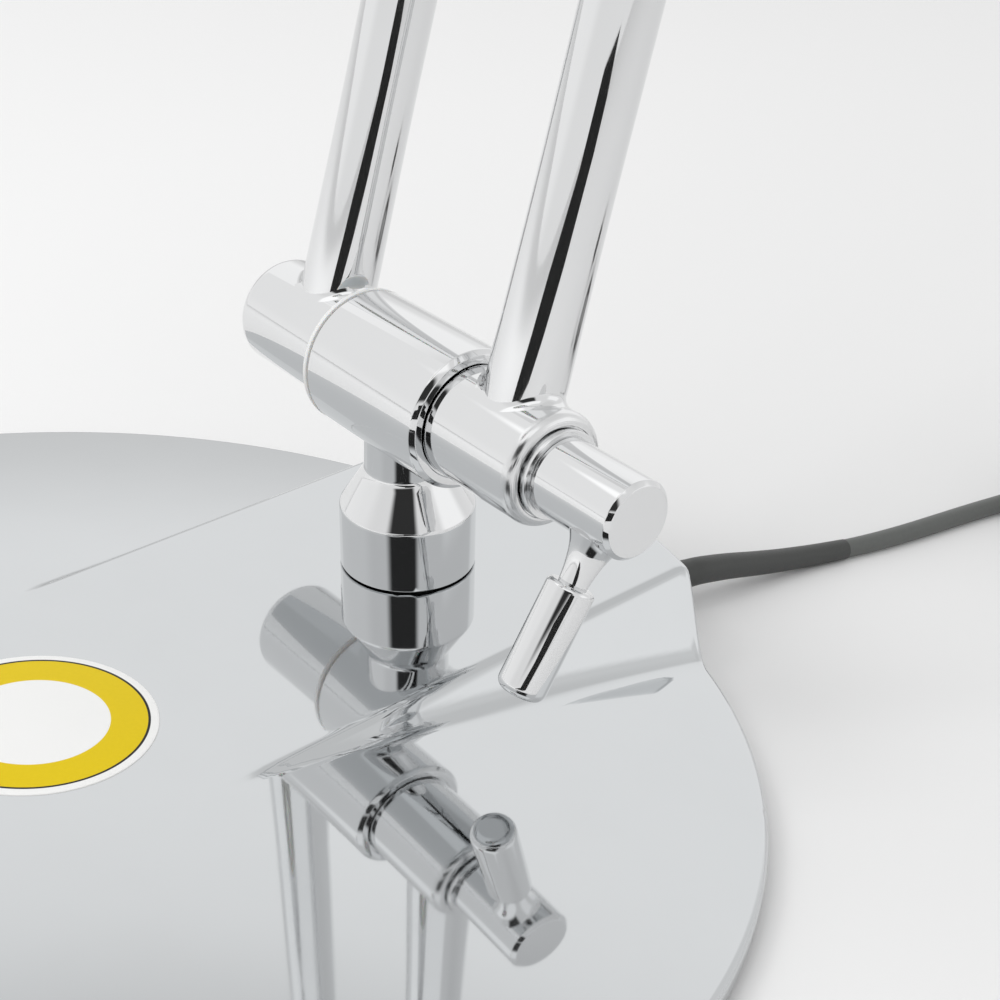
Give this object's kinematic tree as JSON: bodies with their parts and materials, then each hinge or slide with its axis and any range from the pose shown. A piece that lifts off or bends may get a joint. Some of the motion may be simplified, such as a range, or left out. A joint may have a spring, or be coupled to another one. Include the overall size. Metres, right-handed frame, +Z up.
{
  "type": "desk lamp",
  "caption": "Chromed twin-arm desk lamp with a weighted round base, a swivel post, two lever-clamped joints and a tilting bell shade.",
  "frame": {"origin": "centre of the base's underside, on the table", "axes": "+Z up; -Y towards the front of the base, where the label is; +Y towards the back, where the cord leaves; +X towards the clamp levers"},
  "size_m": [0.259, 0.5412, 0.5352],
  "materials": {
    "polished_chrome": "mirror polished chrome plate",
    "zinc_steel": "bright zinc plate",
    "weight_iron": "dark painted casting",
    "felt": "dense felt",
    "brass": "turned, satin",
    "pin_nickel": "bright nickel",
    "black_fibre": "matt",
    "white_nylon": "satin",
    "label_film": "glossy film, white edge, yellow field, plain white middle",
    "grey_cord_sheath": "satin sheath",
    "dark_plug_plastic": "fine satin",
    "black_strap": "woven strap",
    "white_ceramic": "glazed",
    "shade_chrome": "mirror outside, white enamel inside",
    "black_bakelite": "glossy moulding",
    "opal_glass": "opal white"
  },
  "bodies": {
    "base": {"base_cover": "polished_chrome", "base_weight": "weight_iron", "bottom_plate": "zinc_steel", "foot_pad": "felt", "base_screws": "zinc_steel", "swivel_bush": "brass", "swivel_glide": "black_fibre", "plain_label": "label_film", "cord_gland": "dark_plug_plastic", "inner_lead": "grey_cord_sheath", "terminal_block": "white_ceramic", "cord_run": "grey_cord_sheath", "cord_coil": "grey_cord_sheath", "cord_tie": "black_strap", "cord_tail": "grey_cord_sheath", "plug_relief": "dark_plug_plastic", "plug_body": "dark_plug_plastic", "plug_pins": "pin_nickel"},
    "post": {"post": "polished_chrome", "swivel_stud": "zinc_steel", "swivel_washer": "zinc_steel", "swivel_nut": "zinc_steel", "shoulder_bushes": "brass", "shoulder_washer_left": "white_nylon", "shoulder_washer_right": "black_fibre"},
    "lower_arm": {"shoulder_knuckle_left": "polished_chrome", "shoulder_knuckle_right": "polished_chrome", "lower_tube_left": "polished_chrome", "lower_tube_right": "polished_chrome", "elbow_knuckle_left": "polished_chrome", "elbow_knuckle_right": "polished_chrome", "shoulder_bolt": "zinc_steel", "elbow_bolt": "zinc_steel", "end_washers": "polished_chrome"},
    "shoulder_lever": {"shoulder_lever_hub": "polished_chrome", "shoulder_lever_stem": "polished_chrome", "shoulder_lever_grip": "polished_chrome"},
    "upper_arm": {"elbow_barrel": "polished_chrome", "elbow_bushes": "brass", "elbow_washers": "white_nylon", "upper_tube_left": "polished_chrome", "upper_tube_right": "polished_chrome", "head_barrel": "polished_chrome"},
    "elbow_lever": {"elbow_lever_hub": "polished_chrome", "elbow_lever_stem": "polished_chrome", "elbow_lever_grip": "polished_chrome"},
    "head": {"head_bracket": "polished_chrome", "tilt_bolt": "zinc_steel", "tilt_nut": "polished_chrome", "tilt_washers": "white_nylon", "head_nipple": "zinc_steel", "nipple_nut": "zinc_steel", "shade_cap": "polished_chrome", "shade": "shade_chrome", "lamp_holder": "black_bakelite", "bulb_base": "zinc_steel", "bulb_glass": "opal_glass", "switch_body": "black_bakelite"},
    "switch": {"switch_button": "black_bakelite"}
  },
  "joints": [
    {"name": "base_swivel", "type": "hinge", "parent": "base", "child": "post", "pos_m": [0, 0.069, 0.0157], "axis": [0, -0.0941, 0.9956], "range_deg": [-170, 170]},
    {"name": "shoulder_fold", "type": "hinge", "parent": "post", "child": "lower_arm", "pos_m": [0.0025, 0.06561, 0.05044], "axis": [0.9991, -0.0417, -0.0039], "range_deg": [-25, 30]},
    {"name": "shoulder_clamp", "type": "hinge", "parent": "lower_arm", "child": "shoulder_lever", "pos_m": [0.0025, 0.06561, 0.05044], "axis": [0.9991, -0.0417, -0.0039], "range_deg": [-45, 45]},
    {"name": "elbow_fold", "type": "hinge", "parent": "lower_arm", "child": "upper_arm", "pos_m": [0.00585, 0.11815, 0.34578], "axis": [0.9991, -0.0417, -0.0039], "range_deg": [-50, 30]},
    {"name": "elbow_clamp", "type": "hinge", "parent": "lower_arm", "child": "elbow_lever", "pos_m": [0.00585, 0.11815, 0.34578], "axis": [0.9991, -0.0417, -0.0039], "range_deg": [-45, 45]},
    {"name": "head_tilt", "type": "hinge", "parent": "upper_arm", "child": "head", "pos_m": [-0.00236, -0.09586, 0.52615], "axis": [0.9991, -0.0417, -0.0039], "range_deg": [-65, 12]},
    {"name": "switch_press", "type": "slide", "parent": "head", "child": "switch", "axis": [-0.018, -0.3433, -0.9391], "range_m": [0, 0.002], "stiffness_N_per_m": 150}
  ]
}
